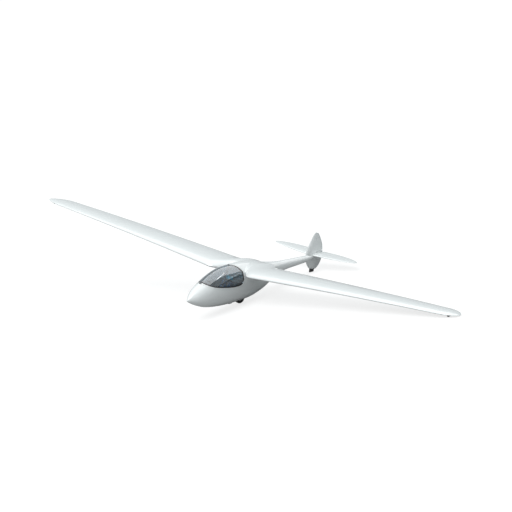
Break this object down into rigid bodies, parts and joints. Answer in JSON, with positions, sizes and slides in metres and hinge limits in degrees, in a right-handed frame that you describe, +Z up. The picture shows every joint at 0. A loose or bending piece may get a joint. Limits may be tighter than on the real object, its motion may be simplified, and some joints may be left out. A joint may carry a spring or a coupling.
{
  "type": "sailplane glider",
  "caption": "Single-seat sailplane parked on its main wheel, tail skid and one wingtip skid, with an opening bubble canopy, airbrakes and moving control surfaces.",
  "frame": {"origin": "on the ground, at the middle of the bottom of the bounding box of the parked aircraft", "axes": "+X towards the lowered port wingtip, +Y aft along the fuselage, +Z up from the ground it stands on"},
  "size_m": [14.6824, 6.2036, 3.1046],
  "materials": {
    "gelcoat": "polished white gelcoat over glass fibre laminate",
    "tinted_glazing": "clear tinted acrylic, polished",
    "canopy_frame": "black laminate, satin",
    "steel": "plated steel, satin",
    "aluminium_alloy": "brushed aluminium",
    "rubber": "hard moulded rubber, matt",
    "tyre": "ribbed tyre rubber",
    "cockpit_trim": "grey textured laminate",
    "upholstery": "blue woven cloth over foam",
    "instrument_black": "matt black",
    "control_knob": "coloured control knobs"
  },
  "bodies": {
    "airframe": {"cockpit_shell": "gelcoat", "canopy_hinge": "steel", "centre_fuselage": "gelcoat", "tail_boom": "gelcoat", "fin": "gelcoat", "stabilizer_left": "gelcoat", "stabilizer_right": "gelcoat", "wing_left": "gelcoat", "wing_right": "gelcoat", "wingtip_skid_left": "rubber", "wingtip_skid_right": "rubber", "tail_skid": "rubber", "main_axle": "steel", "wheel_fork": "steel", "tow_release": "steel", "seat_pan": "cockpit_trim", "rear_shelf": "cockpit_trim", "seat_cushion": "upholstery", "back_cushion": "upholstery", "headrest": "upholstery", "instrument_panel": "instrument_black", "glare_shield": "instrument_black", "control_stick": "instrument_black", "rudder_pedals": "steel", "side_console_left": "cockpit_trim", "side_console_right": "cockpit_trim", "airbrake_lever": "control_knob", "trim_lever": "control_knob", "gear_brake_lever": "control_knob"},
    "canopy": {"canopy_frame": "canopy_frame", "canopy_glass": "tinted_glazing"},
    "main_wheel": {"main_tyre": "tyre", "main_hub": "aluminium_alloy"},
    "aileron_left": {"aileron_left": "gelcoat"},
    "aileron_right": {"aileron_right": "gelcoat"},
    "airbrake_left": {"airbrake_left": "aluminium_alloy"},
    "airbrake_right": {"airbrake_right": "aluminium_alloy"},
    "elevator_left": {"elevator_left": "gelcoat"},
    "elevator_right": {"elevator_right": "gelcoat"},
    "rudder": {"rudder_upper": "gelcoat", "rudder_lower": "gelcoat", "rudder_post": "steel"}
  },
  "joints": [
    {"name": "canopy_open", "type": "hinge", "parent": "airframe", "child": "canopy", "pos_m": [-0.12563, -2.53502, 1.08178], "axis": [0.9789, -0.0164, -0.2037], "range_deg": [0, 45]},
    {"name": "main_wheel_spin", "type": "hinge", "parent": "airframe", "child": "main_wheel", "pos_m": [-0.28521, -0.83718, 0.17802], "axis": [0.9789, -0.0164, -0.2037], "continuous": true},
    {"name": "aileron_left_swing", "type": "hinge", "parent": "airframe", "child": "aileron_left", "pos_m": [4.46632, -0.64857, 0.41433], "axis": [0.9883, -0.0724, -0.134], "range_deg": [-20, 20]},
    {"name": "aileron_right_swing", "type": "hinge", "parent": "airframe", "child": "aileron_right", "pos_m": [-4.53949, -0.49742, 2.28851], "axis": [0.9615, 0.0397, -0.2718], "range_deg": [-20, 20]},
    {"name": "airbrake_left_slide", "type": "slide", "parent": "airframe", "child": "airbrake_left", "axis": [0.1399, 0.1778, 0.9741], "range_m": [0, 0.085]},
    {"name": "airbrake_right_slide", "type": "slide", "parent": "airframe", "child": "airbrake_right", "axis": [0.266, 0.1757, 0.9478], "range_m": [0, 0.085]},
    {"name": "elevator_left_swing", "type": "hinge", "parent": "airframe", "child": "elevator_left", "pos_m": [-0.12431, 2.91589, 0.49139], "axis": [0.978, -0.1446, -0.1506], "range_deg": [-25, 25]},
    {"name": "elevator_right_swing", "type": "hinge", "parent": "airframe", "child": "elevator_right", "pos_m": [-0.18696, 2.91695, 0.50443], "axis": [0.961, 0.112, -0.2529], "range_deg": [-25, 25]},
    {"name": "rudder_swing", "type": "hinge", "parent": "airframe", "child": "rudder", "pos_m": [-0.15591, 2.68134, 0.51555], "axis": [0.2044, 0.0787, 0.9757], "range_deg": [-30, 30]}
  ],
  "couplings": [
    {"joint": "aileron_right_swing", "follows": "aileron_left_swing", "ratio": -1},
    {"joint": "airbrake_right_slide", "follows": "airbrake_left_slide", "ratio": 1},
    {"joint": "elevator_right_swing", "follows": "elevator_left_swing", "ratio": 1}
  ]
}
